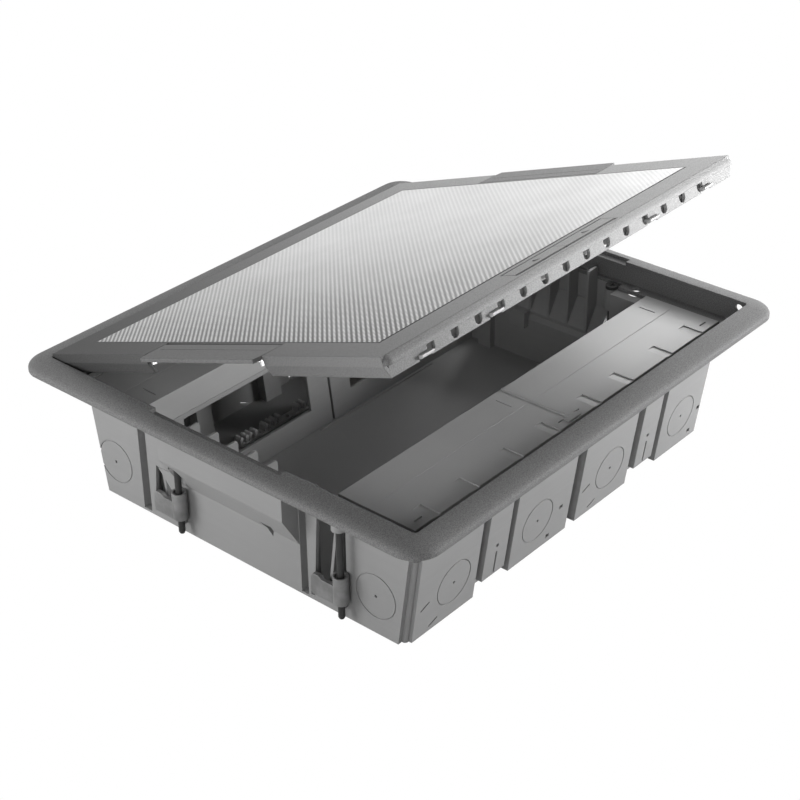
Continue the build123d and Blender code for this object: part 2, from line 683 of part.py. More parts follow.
def lid_shell():
    """Top plate with a rounded front lip and a slanted or set-back skirt on each side."""
    back = LID_BACK - SKIRT_SET + 1.2
    plate = block(-LID_X, LID_X, SKIRT_FRONT, back, UNDER_PLATE, TOP_Z)
    nose = block(-LID_X, LID_X, LID_FRONT, SKIRT_FRONT + SKIRT_T, LIP_LOW, TOP_Z)
    nose = fillet(nose.edges().filter_by(Axis.Z).sort_by(Axis.Y)[:2], LID_CORNER_R)
    rim_edge = nose.edges().filter_by(Axis.X).sort_by(Axis.Z)[-2:].sort_by(Axis.Y)[0]
    nose = fillet(rim_edge, LID_EDGE_R)
    foot = LID_X - SKIRT_SET
    front = block(-foot, foot, SKIRT_FRONT, SKIRT_FRONT + SKIRT_T, LID_LOW, LIP_LOW + 1)
    slant = prism_x(
        [
            (LID_BACK, TOP_Z),
            (SKIRT_BACK, TOP_Z - 3.6),
            (SKIRT_BACK, BEVEL_TOP - 0.1),
            (SKIRT_BACK - SKIRT_T, BEVEL_TOP - 0.1),
            (SKIRT_BACK - SKIRT_T, TOP_Z),
        ],
        -LID_X,
        LID_X,
    )
    back_low = block(-foot, foot, SKIRT_BACK - SKIRT_T, SKIRT_BACK, LID_LOW, BEVEL_TOP)
    side = prism_y(
        [
            (LID_X, TOP_Z),
            (LID_X, BEVEL_TOP),
            (foot, LID_LOW),
            (foot - SKIRT_T, LID_LOW),
            (LID_X - SKIRT_T, BEVEL_TOP),
            (LID_X - SKIRT_T, TOP_Z),
        ],
        SKIRT_FRONT,
        SKIRT_BACK,
    )
    return plate + [nose, front, slant, back_low, side, mirrored_x(side)]


def lid_frame():
    lid = lid_shell()
    low = TOP_Z - 5.2
    top = UNDER_PLATE + 0.5
    added = []
    for sx in (-1, 1):
        for sy in (-1, 1):
            x0, x1 = sorted((sx * FLAP_CUT_X, sx * (FLAP_AXIS_X + 2.8)))
            y0, y1 = sorted((sy * FLAP_CUT_Y, sy * (FLAP_CUT_Y + 4.5)))
            added.append(block(x0, x1, y0, y1, low, top))
        x0, x1 = sorted((sx * HANDLE_CUT_X, sx * (HANDLE_CUT_X + 4.4)))
        added.append(block(x0, x1, HANDLE_AXIS_Y - 2.7, HANDLE_AXIS_Y + 3.0, low + 0.2, top))
        x0, x1 = sorted((sx * 40.0, sx * 120.0))
        added.append(block(x0, x1, RIB_Y, RIB_Y + RIB_T, BAR_Z0, top))
        for y in (-100.0, -75.0, 75.0, 100.0):
            x0, x1 = sorted((sx * (LID_X - 13.8), sx * (LID_X - 1.3)))
            added.append(block(x0, x1, y - 0.8, y + 0.8, low - 1, top))
    lid = lid + added

    x_in = INSERT_X + INSERT_GAP
    y_in = INSERT_Y1 + INSERT_GAP
    cuts = [block(-x_in, x_in, INSERT_Y0 - INSERT_JOINT, y_in, TOP_Z - INSERT_T, TOP_Z + 1)]
    cuts.append(block(-HANDLE_CUT_X, HANDLE_CUT_X, HANDLE_CUT_Y0, HANDLE_CUT_Y1, UNDER_PLATE - 1, TOP_Z + 1))
    pin_end = HANDLE_CUT_X + HANDLE_PIN_SEAT
    cuts.append(rod_x(-pin_end, pin_end, HANDLE_AXIS_Y, HANDLE_AXIS_Z, HANDLE_PIN_R + TURN_FIT))
    flap_pin_end = FLAP_CUT_Y + FLAP_PIN_SEAT
    skirt = (SKIRT_FRONT - 1.7, SKIRT_FRONT + SKIRT_T + 1.1)
    for sx in (-1, 1):
        x0, x1 = sorted((sx * FLAP_CUT_X, sx * (LID_X + 2)))
        cuts.append(block(x0, x1, -FLAP_CUT_Y, FLAP_CUT_Y, LID_LOW - 1, TOP_Z + 1))
        bore = FLAP_PIN_R + TURN_FIT
        cuts.append(rod_y(sx * FLAP_AXIS_X, -flap_pin_end, flap_pin_end, FLAP_AXIS_Z, bore))
        for k in range(7):
            x = sx * SLOT_PITCH * (k + 0.5)
            cuts.append(block(x - SLOT_R, x + SLOT_R, *skirt, SLOT_LOW, LIP_LOW))
            cuts.append(rod_y(x, *skirt, SLOT_LOW, SLOT_R))
        for x in TONGUE_X:
            half = TONGUE_W / 2 + TONGUE_GAP
            cuts.append(block(sx * x - half, sx * x + half, *skirt, LID_LOW - 1, TONGUE_Z1 + TONGUE_GAP))
        half = ARM_W / 2 + 0.5
        mid = sx * ARM_X
        cuts.append(block(mid - half, mid + half, SKIRT_BACK - 3.7, SKIRT_BACK + 1.3, LID_LOW - 1, BEVEL_TOP - 0.7))
    for x, y in LID_SCREWS:
        cuts.append(rod_z(x, y, UNDER_PLATE - 1, TOP_Z - INSERT_T + 0.1, LID_SCREW_R))
    return lid - cuts


def lid_insert():
    return block(-INSERT_X, INSERT_X, INSERT_Y0, INSERT_Y1, TOP_Z - INSERT_T, TOP_Z)


def lid_core():
    """Stiffening plate under the lid with two pressed beads."""
    plate = block(-CORE_X, CORE_X, CORE_Y0, CORE_Y1, UNDER_CORE, UNDER_PLATE)
    beads = [block(x - 4, x + 4, BEAD_Y0, BEAD_Y1, UNDER_CORE - BEAD_H, UNDER_CORE) for x in (-BEAD_X, BEAD_X)]
    holes = [rod_z(x, y, UNDER_CORE - 1, UNDER_PLATE + 1, LID_SCREW_R) for x, y in LID_SCREWS]
    return plate + beads - holes


def lid_screws():
    screws = []
    for x, y in LID_SCREWS:
        seat = UNDER_CORE - ARM_T if (x, y) in ARM_SCREWS else UNDER_CORE
        head = rod_z(x, y, seat - 1.6, seat, LID_SCREW_HEAD)
        shank = rod_z(x, y, seat - 0.5, TOP_Z - INSERT_T, LID_SCREW_R)
        slot = block(x - 1.6, x + 1.6, y - 0.4, y + 0.4, seat - 2, seat - 1.0)
        screws.append((head + shank) - slot)
    return group(screws)


def hinge_arm(x):
    """Gooseneck strap: from the barrel down, forward under the rim and up to the lid."""
    x0 = x - ARM_W / 2
    x1 = x + ARM_W / 2
    half = ARM_T / 2
    low = HINGE_Z - ARM_DROP
    far = HINGE_Y - ARM_REACH
    barrel = rod_x(x0, x1, HINGE_Y, HINGE_Z, BARREL_R)
    drop = block(x0, x1, HINGE_Y - half, HINGE_Y + half, low, HINGE_Z)
    reach = block(x0, x1, far, HINGE_Y + half, low, low + ARM_T)
    rise = block(x0, x1, far, far + ARM_T, low, UNDER_CORE)
    foot = block(x0, x1, CORE_Y1 - 10.0, far + ARM_T, UNDER_CORE - ARM_T, UNDER_CORE)
    arm = barrel + [drop, reach, rise, foot]
    holes = [rod_z(sx, sy, UNDER_CORE - 5, TOP_Z, LID_SCREW_R) for sx, sy in ARM_SCREWS]
    return arm - holes - rod_x(x0 - 1, x1 + 1, HINGE_Y, HINGE_Z, PIN_R + TURN_FIT)


def hinge_pin(x):
    half = ARM_W / 2 + ARM_GAP + LUG_T + 0.3
    return rod_x(x - half, x + half, HINGE_Y, HINGE_Z, PIN_R)


# Handles and latch
def handle(side):
    x0 = 0.3
    x1 = HANDLE_END
    y1 = HANDLE_CUT_Y1 - HANDLE_GAP
    plate = block(x0, x1, HANDLE_AXIS_Y, y1, TOP_Z - HANDLE_T, TOP_Z)
    knuckle = rod_x(x0, x1, HANDLE_AXIS_Y, HANDLE_AXIS_Z, KNUCKLE_R)
    leg_y = (HANDLE_AXIS_Y - 0.8, HANDLE_AXIS_Y + 0.8)
    leg = block(*LEG_X, *leg_y, HANDLE_AXIS_Z - LEG_H, HANDLE_AXIS_Z)
    grip = block(x0 + 3.7, x1 - 4.5, y1 - 1.8, y1, TOP_Z - 2.9, TOP_Z - 1.3)
    tip = (x0 + x1) / 2 - 0.4
    arrow = prism_z([(tip - 3, y1 - 6.2), (tip + 3, y1 - 6.2), (tip, y1 - 2.6)], TOP_Z - 0.5, TOP_Z + 1)
    bore = rod_x(x0 - 1, x1 + 1, HANDLE_AXIS_Y, HANDLE_AXIS_Z, HANDLE_PIN_R + TURN_FIT)
    shape = plate + [knuckle, leg, grip] - [arrow, bore]
    return shape if side > 0 else mirrored_x(shape)


def handle_pin():
    half = HANDLE_CUT_X + HANDLE_PIN_SEAT - 0.4
    return rod_x(-half, half, HANDLE_AXIS_Y, HANDLE_AXIS_Z, HANDLE_PIN_R)


def latch_bar(side):
    bar = block(2, TONGUE_X[1] + TONGUE_W / 2 + 2, BAR_Y0, BAR_Y1, BAR_Z0, BAR_Z1)
    recess = block(LEG_X[0] - 1, LEG_X[1] + 1, BAR_Y0 - 1, BAR_NOTCH_Y, BAR_Z0 - 1, BAR_Z1 + 1)
    nose = SKIRT_FRONT - TONGUE_OUT
    points = [
        (BAR_Y0 + 0.5, TONGUE_Z0),
        (nose + 1.6, TONGUE_Z0),
        (nose, TONGUE_Z0 + 1.2),
        (nose, TONGUE_Z1),
        (BAR_Y0 + 0.5, TONGUE_Z1),
    ]
    tongues = [prism_x(points, x - TONGUE_W / 2, x + TONGUE_W / 2) for x in TONGUE_X]
    pockets = [rod_y(x, BAR_Y0 + 1.9, BAR_Y1 + 1, BAR_MID, POCKET_R) for x in SPRING_X]
    shape = bar - [recess] + tongues - pockets
    return shape if side > 0 else mirrored_x(shape)


def latch_spring(side):
    """Two coil springs between the lid rib and the pockets of the bar."""
    coils = []
    for x in SPRING_X:
        path = Helix(pitch=1.15, height=SPRING_H, radius=SPRING_R)
        wire = Circle(SPRING_WIRE)
        section = Plane(path @ 0, z_dir=path % 0) * wire
        coil = sweep(section, path=path)
        start = RIB_Y - SPRING_WIRE - TURN_FIT
        coils.append(Pos(side * x, start, BAR_MID) * Rot(90, 0, 0) * coil)
    return group(coils)


# Cable flaps
def cable_flap(side):
    x0 = FLAP_AXIS_X
    x1 = FLAP_EDGE_X
    nose = x1 - 8.4
    side_y = FLAP_Y - 1.5
    points = [(x0, -FLAP_Y), (nose, -FLAP_Y), (x1, -side_y), (x1, side_y), (nose, FLAP_Y), (x0, FLAP_Y)]
    plate = prism_z(points, FLAP_AXIS_Z, TOP_Z)
    knuckle = rod_y(x0, -FLAP_Y, FLAP_Y, FLAP_AXIS_Z, KNUCKLE_R)
    bore = rod_y(x0, -FLAP_Y - 1, FLAP_Y + 1, FLAP_AXIS_Z, FLAP_PIN_R + TURN_FIT)
    line = block(x0 + 6.4, x0 + 6.9, -FLAP_Y + 4, FLAP_Y - 4, TOP_Z - 0.4, TOP_Z + 1)
    shape = plate + [knuckle] - [bore, line]
    return shape if side > 0 else mirrored_x(shape)


def flap_pin(side):
    half = FLAP_CUT_Y + FLAP_PIN_SEAT - 0.2
    return rod_y(side * FLAP_AXIS_X, -half, half, FLAP_AXIS_Z, FLAP_PIN_R)


def flap_stiffener(side):
    """Bent sheet under the flap with two short down-turned ears."""
    x0 = FLAP_AXIS_X + 3.4
    x1 = OPEN_X - 0.5
    wide = FLAP_Y - 2.5
    sheet = block(x0, x1, -wide, wide, FLAP_AXIS_Z - 1.0, FLAP_AXIS_Z)
    lip = block(x0, x0 + 1, -wide + 7.6, wide - 7.6, FLAP_AXIS_Z - 2.6, FLAP_AXIS_Z - 0.5)
    ears = []
    for s in (-1, 1):
        y0, y1 = sorted((s * wide, s * (wide - 1)))
        ears.append(block(x0 + 1.8, x1 - 1.4, y0, y1, EAR_LOW, FLAP_AXIS_Z - 0.5))
    shape = sheet + [lip] + ears
    return shape if side > 0 else mirrored_x(shape)


# Covers and dividers
def divider_y(z):
    """Distance from the middle of the slanted divider face at height z."""
    return DIVIDER_FOOT_Y + (COVER_IN - DIVIDER_FOOT_Y) * (z - FLOOR) / (COVER_TOP - FLOOR)


def divider_slab(x0, x1, z0, z1, thick):
    points = [
        (-divider_y(z0), z0),
        (-divider_y(z1), z1),
        (-divider_y(z1) - thick, z1),
        (-divider_y(z0) - thick, z0),
    ]
    return prism_x(points, x0, x1)


def cover(front, left):
    """One cover plate, drawn on the front side."""
    x0, x1 = (-COVER_END, -COVER_SPLIT) if left else (COVER_SPLIT, WIDE_COVER_END)
    plate = block(x0, x1, -COVER_OUT, -COVER_IN, COVER_TOP - COVER_T, COVER_TOP)
    lip = divider_slab(x0, min(x1, DIVIDER_END), LIP_END, COVER_TOP - 0.5, DIVIDER_T)
    shape = plate + [lip]
    if left:
        shape = shape + [rod_y(-1.2, -COVER_OUT + 5.5, -COVER_IN - 0.5, COVER_TOP - 0.1, 0.9)]
    top = COVER_TOP + 1
    cuts = []
    for x in (-120.0, -87.6, -49.0, -15.0, 24.0, 56.0, 97.0, 130.0):
        if x0 < x < x1:
            wedge = [(x - 7.0, COVER_TOP), (x, COVER_TOP - 0.8), (x, top), (x - 7.0, top)]
            cuts.append(prism_y(wedge, -COVER_OUT - 1, -COVER_OUT + 13.5))
    line_x = -13.0 if left else 132.4
    cuts.append(block(line_x - 0.4, line_x + 0.4, -COVER_IN - 16.5, -COVER_IN - 5.3, COVER_TOP - 0.8, top))
    cuts.append(block(x0 + 6, x1 - 6, -COVER_IN - 21.7, -COVER_IN - 21.3, COVER_TOP - 0.2, top))
    slit = (-CLIP_Y[0] + 0.6, -CLIP_Y[0] + 1.6)
    end = x0 + 9 if left else x1 - 9
    cuts.append(block(end - 3, end + 3, *slit, COVER_TOP - 4, top))
    near = x1 - 7 if left else x0 + 7
    cuts.append(block(near - 2.5, near + 2.5, *slit, COVER_TOP - 4, top))
    cuts.append(block(-3.1, 3.1, -CLIP_Y[1] - 0.1, -CLIP_Y[0] + 0.1, COVER_TOP - 4, top))
    shape = shape - cuts
    return shape if front else half_turn(shape)


def cover_clip(front):
    """Small clip that pins the two covers of one side where they meet."""
    head = block(-5.5, 5.5, -CLIP_Y[1] - 0.4, -CLIP_Y[0] + 0.4, COVER_TOP, COVER_TOP + 0.8)
    stem = block(-3.0, 3.0, -CLIP_Y[1], -CLIP_Y[0], COVER_TOP - COVER_T, COVER_TOP + 0.1)
    shape = head + stem
    return shape if front else half_turn(shape)


def divider(front, left):
    inner = DIVIDER_SPLIT
    x0, x1 = (-DIVIDER_END, -inner) if left else (inner, DIVIDER_END)
    side = -1 if left else 1
    shape = divider_slab(x0, x1, FLOOR, DIVIDER_TOP, DIVIDER_T)
    foot_y = -divider_y(FLOOR)
    shape = shape + [block(x0, x1, foot_y - FOOT_W, foot_y - 0.3, FLOOR, FLOOR + 1.8)]
    depth = (-COVER_IN - DIVIDER_T - 1, -DIVIDER_FOOT_Y + 2)
    cuts = []
    w0, w1 = sorted((side * 18.5, side * (96.0 if left else 120.0)))
    cuts.append(block(w0, w1, *depth, FLOOR + 14.5, DIVIDER_TOP - 3.0))
    for x, low in ((118.0, 50.0), (109.0, 50.0), (100.0, 36.0)):
        if left:
            cuts.append(block(-x - 1.2, -x + 1.2, *depth, low, DIVIDER_TOP - 3.0))
    shape = shape - cuts
    return shape if front else half_turn(shape)


# Small fittings in the socket spaces
def cable_clips(front):
    strip = block(-62, 0, 84.0, 90.0, FLOOR, FLOOR + 1.2)
    jaws = []
    for x in (-6.0, -28.0, -36.0, -50.0, -58.0):
        for dx in (-2.6, 2.6):
            jaws.append(block(x + dx - 1.1, x + dx + 1.1, 84.4, 89.6, FLOOR + 1, FLOOR + 5.4))
            inward = -0.9 if dx > 0 else 0.9
            jaws.append(rod_y(x + dx + inward * 0.4, 84.4, 89.6, FLOOR + 5.3, 1.2))
    holes = [rod_z(x, 87.0, FLOOR - 1, FLOOR + 2, 1.3) for x in (-17.0, -43.0)]
    shape = strip + jaws - holes
    return half_turn(shape) if front else shape


EARTH_X = (55.2, 60.8)
EARTH_Y = 98.0


def earth_terminal():
    body = block(EARTH_X[0] - 3.2, EARTH_X[1] + 3.2, EARTH_Y - 4, EARTH_Y + 4, FLOOR, FLOOR + 9)
    bores = [rod_y(x, EARTH_Y - 5, EARTH_Y + 5, FLOOR + 4.2, 1.8) for x in EARTH_X]
    screw_bores = [rod_z(x, EARTH_Y, FLOOR + 4, FLOOR + 10, 1.2 + TURN_FIT) for x in EARTH_X]
    return body - bores - screw_bores


def earth_screws():
    screws = []
    for x in EARTH_X:
        head = rod_z(x, EARTH_Y, FLOOR + 9.6, FLOOR + 11.4, 2.2)
        shank = rod_z(x, EARTH_Y, FLOOR + 6.2, FLOOR + 10, 1.2)
        slot = block(x - 2.5, x + 2.5, EARTH_Y - 0.4, EARTH_Y + 0.4, FLOOR + 10.6, FLOOR + 12)
        screws.append(head + shank - slot)
    return group(screws)


# Clamps: number and place of the screw axis
CLAMPS = {1: (-CLAMP_X, NEAR_Y), 2: (-CLAMP_X, -FAR_Y), 3: (CLAMP_X, -NEAR_Y), 4: (CLAMP_X, FAR_Y)}


def clamp_screw(x, y):
    seat = BODY_TOP + 0.03
    shank = rod_z(x, y, SCREW_TIP + TIP_H, seat + 0.5, SCREW_R)
    tip = Pos(x, y, SCREW_TIP + TIP_H / 2) * Cone(SCREW_R - 0.6, SCREW_R, TIP_H)
    head = rod_z(x, y, seat, seat + HEAD_H, HEAD_R)
    recess = [Pos(x, y, seat + HEAD_H) * Rot(0, 0, turn) * Box(4.2, 1.0, 2.4) for turn in (0, 90)]
    return shank + [tip, head] - recess


def clamp_nut(x, y):
    top = HUB_Z1 - NUT_SINK
    body = rod_z(x, y, top - NUT_H, top, NUT_R)
    return body - rod_z(x, y, top - NUT_H - 1, top + 1, SCREW_R + TURN_FIT)


def clamp_claw(y):
    """Hub on the nut with a blade that points along the left wall until it is swung out."""
    x = -CLAMP_X
    hub = rod_z(x, y, HUB_Z0, HUB_Z1, HUB_R)
    outer = x + HUB_R - CLAW_T + 0.2
    end = y + CLAW_REACH
    outline = [
        (y, CLAW_Z0),
        (end, CLAW_Z0),
        (end, CLAW_Z1 - 1.8),
        (end - 1.6, CLAW_Z1 + 0.6),
        (end - 5.5, CLAW_Z1 + 0.6),
        (end - 8.0, CLAW_Z1 - 1.0),
        (y, CLAW_Z1 - 1.0),
    ]
    blade = prism_x(outline, outer, outer + CLAW_T)
    floor = HUB_Z1 - NUT_SINK - NUT_H - TURN_FIT
    bores = [
        rod_z(x, y, CLAW_Z0 - 1, HUB_Z1 + 1, SCREW_R + 0.25),
        rod_z(x, y, floor, HUB_Z1 + 1, NUT_R + TURN_FIT),
    ]
    return hub + blade - bores


def save_all():
    save(box_body(), "box_body")
    save(mounting_frame(), "mounting_frame")
    save(frame_screws(), "frame_screws")
    save(lid_open(lid_frame()), "lid_frame")
    save(lid_open(lid_insert()), "lid_insert")
    save(lid_open(lid_core()), "lid_core")
    save(lid_open(lid_screws()), "lid_screws")
    save(lid_open(handle_pin()), "handle_pin")
    for name, side in (("left", -1), ("right", 1)):
        save(lid_open(hinge_arm(side * ARM_X)), f"hinge_arm_{name}")
        save(hinge_pin(side * ARM_X), f"hinge_pin_{name}")
        save(channel_comb(side), f"cable_comb_{name}")
        save(lid_open(handle(side)), f"handle_{name}")
        save(lid_open(latch_bar(side)), f"latch_bar_{name}")
        save(lid_open(latch_spring(side)), f"latch_springs_{name}")
        save(lid_open(cable_flap(side)), f"cable_flap_{name}")
        save(lid_open(flap_pin(side)), f"flap_pin_{name}")
        save(lid_open(flap_stiffener(side)), f"flap_stiffener_{name}")
    for row, front in (("front", True), ("back", False)):
        for name, left in (("left", True), ("right", False)):
            drawn_left = left if front else not left
            save(cover(front, drawn_left), f"cover_{row}_{name}")
            save(divider(front, drawn_left), f"divider_{row}_{name}")
        save(cover_clip(front), f"cover_clip_{row}")
        save(cable_clips(front), f"cable_clips_{row}")
    save(earth_terminal(), "earth_terminal")
    save(earth_screws(), "earth_screws")
    for number, (x, y) in CLAMPS.items():
        claw = clamp_claw(y) if x < 0 else half_turn(clamp_claw(-y))
        save(clamp_screw(x, y), f"clamp_screw_{number}")
        save(clamp_nut(x, y), f"clamp_nut_{number}")
        save(claw, f"clamp_claw_{number}")


save_all()
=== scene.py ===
import json
import math

import bpy
from mathutils import Matrix, Vector

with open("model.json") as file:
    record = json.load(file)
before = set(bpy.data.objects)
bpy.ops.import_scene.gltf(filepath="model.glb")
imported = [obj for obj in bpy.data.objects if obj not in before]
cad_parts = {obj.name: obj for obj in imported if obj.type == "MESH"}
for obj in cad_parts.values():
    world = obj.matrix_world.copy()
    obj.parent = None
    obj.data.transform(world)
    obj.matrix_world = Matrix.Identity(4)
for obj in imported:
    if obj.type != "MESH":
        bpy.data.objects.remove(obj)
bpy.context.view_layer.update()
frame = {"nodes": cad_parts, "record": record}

AMBIENT = 0.11
PHOTO_WIDTH = 800.0
FOCAL_PIXELS = 1785.0
SENSOR_WIDTH = 36.0
CAMERA_TURNS = (-49.1, 31.09, -0.67)
CAMERA_PLACE = (-0.7059, -0.6053, 0.6018)
LOOK_AT = Vector((0, 0, 0.08))
FLOOR_SIZE = 12.0
FLOOR_DROP = 0.0005
DOT_PITCH = 0.0036
# width of the painted shadow line round the lid insert, in the joint between it and the lid
JOINT_SHADOW = 0.0010
HINGE = Vector((0.0, 0.1413, 0.0842))
REST_OPEN = math.radians(19.55)
OPENED = Matrix.Translation(HINGE) @ Matrix.Rotation(-REST_OPEN, 4, "X") @ Matrix.Translation(-HINGE)


# Camera, from the edges of the frame and the body in the photograph
def make_camera():
    azimuth, elevation, roll = (math.radians(a) for a in CAMERA_TURNS)
    back = Vector((math.sin(azimuth) * math.cos(elevation),
                   -math.cos(azimuth) * math.cos(elevation), math.sin(elevation)))
    level = Vector((math.cos(azimuth), math.sin(azimuth), 0.0))
    above = back.cross(level)
    right = level * math.cos(roll) + above * math.sin(roll)
    up = back.cross(right)
    data = bpy.data.cameras.new("camera")
    data.sensor_width = SENSOR_WIDTH
    data.lens = SENSOR_WIDTH * FOCAL_PIXELS / PHOTO_WIDTH
    data.clip_start = 0.05
    data.clip_end = 20.0
    camera = bpy.data.objects.new("camera", data)
    turn = Matrix((right, up, back)).transposed().to_4x4()
    camera.matrix_world = Matrix.Translation(CAMERA_PLACE) @ turn
    bpy.context.scene.collection.objects.link(camera)
    bpy.context.scene.camera = camera


# Shader sums are written as Python expressions, and any other node comes from Graph.node
class Socket:
    def __init__(self, graph, out):
        self.graph = graph
        self.out = out

    def _sum(self, kind, *others):
        return self.graph.node("ShaderNodeMath", {"operation": kind}, 0, self, *others)

    def __add__(self, other):
        return self._sum("ADD", other)

    def __radd__(self, other):
        return self._sum("ADD", other)

    def __sub__(self, other):
        return self._sum("SUBTRACT", other)

    def __rsub__(self, other):
        return self.graph.node("ShaderNodeMath", {"operation": "SUBTRACT"}, 0, other, self)

    def __mul__(self, other):
        return self._sum("MULTIPLY", other)

    def __truediv__(self, other):
        return self._sum("DIVIDE", other)

    def __mod__(self, other):
        return self._sum("FLOORED_MODULO", other)

    def at_most(self, other):
        return self._sum("MINIMUM", other)

    def root(self):
        return self._sum("SQRT")

    def over(self, low, high):
        """0 below low, 1 above high, smooth between them."""
        return self.graph.node("ShaderNodeMapRange", {"interpolation_type": "SMOOTHSTEP"}, 0,
                               Value=self, **{"From Min": low, "From Max": high})


class Graph:
    def __init__(self, name):
        self.material = bpy.data.materials.new(name)
        self.material.use_nodes = True
        self.tree = self.material.node_tree
        self.tree.nodes.clear()
        self.shader = self.tree.nodes.new("ShaderNodeBsdfPrincipled")
        end = self.tree.nodes.new("ShaderNodeOutputMaterial")
        self.tree.links.new(self.shader.outputs["BSDF"], end.inputs["Surface"])

    def _set(self, where, value):
        if isinstance(value, Socket):
            self.tree.links.new(value.out, where)
        elif where.type == "RGBA" and len(value) == 3:
            where.default_value = (*value, 1.0)
        else:
            where.default_value = value

    def node(self, kind, settings, output, *values, **named):
        made = self.tree.nodes.new(kind)
        for key, value in settings.items():
            setattr(made, key, value)
        for index, value in enumerate(values):
            self._set(made.inputs[index], value)
        for key, value in named.items():
            self._set(made.inputs[key], value)
        return Socket(self, made.outputs[output])

    def place(self):
        return self.node("ShaderNodeTexCoord", {}, "Object")

    def parts(self, vector):
        made = self.node("ShaderNodeSeparateXYZ", {}, 0, vector)
        return [Socket(self, out) for out in made.out.node.outputs]

    def noise(self, vector, scale, detail=3.0, rough=0.5):
        return self.node("ShaderNodeTexNoise", {}, 0, Vector=vector, Scale=scale, Detail=detail,
                         Roughness=rough)

    def mix(self, factor, a, b):
        made = self.node("ShaderNodeMix", {"data_type": "RGBA"}, 2).out.node
        self._set(made.inputs[0], factor)
        self._set(made.inputs[6], a)
        self._set(made.inputs[7], b)
        return Socket(self, made.outputs[2])

    def bump(self, height, strength, distance, edge=0.0004):
        """Surface relief over edges that are rounded by the given radius."""
        rounded = self.node("ShaderNodeBevel", {"samples": 6}, 0, Radius=edge)
        return self.node("ShaderNodeBump", {}, 0, Height=height, Strength=strength,
                         Distance=distance, Normal=rounded)

    def give(self, **values):
        for key, value in values.items():
            self._set(self.shader.inputs[key.replace("_", " ")], value)
        return self.material


# Materials
def grey(value):
    return (value, value, value)


def plastic(name, dark, light, rough=0.5, grain=0.12, size=900.0, depth=0.0002):
    """Moulded plastic: slow mottling, fine grain, and a few faint flow streaks."""
    g = Graph(name)
    p = g.place()
    slow = g.noise(p, 9.0, 4.0, 0.55)
    fine = g.noise(p, size, 2.0, 0.6)
    streak = g.noise(g.node("ShaderNodeMapping", {}, 0, Vector=p, Scale=(2.0, 2.0, 60.0)), 6.0, 2.0)
    tone = (slow * 0.6 + streak * 0.15 + fine * grain * 2.0).over(0.2, 0.95)
    return g.give(Base_Color=g.mix(tone, grey(dark), grey(light)),
                  Roughness=(slow - 0.5) * 0.16 + (fine - 0.5) * 0.12 + rough,
                  Normal=g.bump(fine, grain, depth),
                  Specular_IOR_Level=0.45)


def metal(name, tone, rough=0.35, brush=(4.0, 300.0, 300.0), spread=0.1, metallic=1.0):
    """Rolled or plated metal with faint lines along one way and soft patches."""
    g = Graph(name)
    p = g.place()
    lines = g.noise(g.node("ShaderNodeMapping", {}, 0, Vector=p, Scale=brush), 3.0, 3.0)
    patch = g.noise(p, 40.0, 4.0, 0.6)
    shade = lines * 0.5 + patch * 0.5
    return g.give(Base_Color=g.mix(shade.over(0.3, 0.7), grey(tone * (1 - spread)),
                                   grey(min(1.0, tone * (1 + spread)))),
                  Roughness=rough + (patch - 0.5) * 0.15,
                  Metallic=metallic,
                  Normal=g.bump(lines, 0.08, 0.0001))


def sheet_plane(g):
    """Object coordinates turned back into the plane of the closed lid."""
    return g.node("ShaderNodeMapping", {"vector_type": "POINT"}, 0, Vector=g.place(),
                  Rotation=(REST_OPEN, 0.0, 0.0))


def in_plane(node):
    """Lowest and highest corners of a lid part, measured in the plane of the closed lid."""
    turn = Matrix.Rotation(REST_OPEN, 3, "X")
    corners = [turn @ v.co for v in frame["nodes"][node].data.vertices]
    return [[pick(c[axis] for c in corners) for axis in range(2)] for pick in (min, max)]


def embossed(name):
    """Steel sheet with pressed dots in diagonal rows, with painted shade that darkens it towards the
    near left corner, and a painted shadow line round its edge in the joint.
    """
    g = Graph(name)
    p = sheet_plane(g)
    x, y, _ = g.parts(p)
    (x0, y0), (x1, y1) = in_plane("lid_insert")
    # Painted shadow: a thin near-black line along the sheet's edge, standing in for the shade that falls
    # into the joint round the insert.
    to_edge = (x - x0).at_most(x1 - x).at_most((y - y0).at_most(y1 - y))
    joint_shadow = 1.0 - to_edge.over(JOINT_SHADOW * 0.7, JOINT_SHADOW)
    du = (x + y) / DOT_PITCH % 1.0 - 0.5
    dv = (x - y) / DOT_PITCH % 1.0 - 0.5
    far = (du * du + dv * dv).root()
    dot = 1.0 - far.over(0.20, 0.36)
    # Painted light and shade: the sheet goes from a dark shaded tone at the near left corner to a light
    # lit tone (clear), and its dots fade where it is painted as lit.
    painted_light = (x * 3.4 + y * 0.6 + 0.7).over(0.0, 1.0)
    patch = g.noise(p, 30.0, 4.0, 0.6)
    fine = g.noise(p, 1500.0, 2.0)
    tone = (patch * 0.7 + fine * 0.3).over(0.25, 0.75)
    shaded_tone = g.mix(tone, grey(0.03), grey(0.08))
    clear = g.mix(tone, grey(0.60), grey(0.68))
    mark = dot * (1.0 - painted_light * 0.45)
    sheet = g.mix(mark, g.mix(painted_light, shaded_tone, clear), grey(0.92))
    return g.give(Base_Color=g.mix(joint_shadow, sheet, grey(0.01)),
                  Roughness=0.46 + (patch - 0.5) * 0.1 - mark * 0.08,
                  Metallic=0.55,
                  Normal=g.bump(mark + fine * 0.05, 0.5, 0.0002))


def sandpaper(g):
    """Even grain, and the tone that it gives over a slow change."""
    p = g.place()
    slow = g.noise(p, 8.0, 3.0, 0.5)
    grain = g.noise(p, 1700.0, 2.0, 0.6)
    return grain, grain.over(0.32, 0.68) * 0.8 + (slow - 0.5) * 0.25


def coarse(name, dark, light, rough=0.62):
    """Spark-eroded plastic of the frame."""
    g = Graph(name)
    grain, tone = sandpaper(g)
    return g.give(Base_Color=g.mix(tone, grey(dark), grey(light)),
                  Roughness=rough + (grain - 0.5) * 0.2,
                  Normal=g.bump(grain, 0.5, 0.00012, 0.0007),
                  Specular_IOR_Level=0.2)


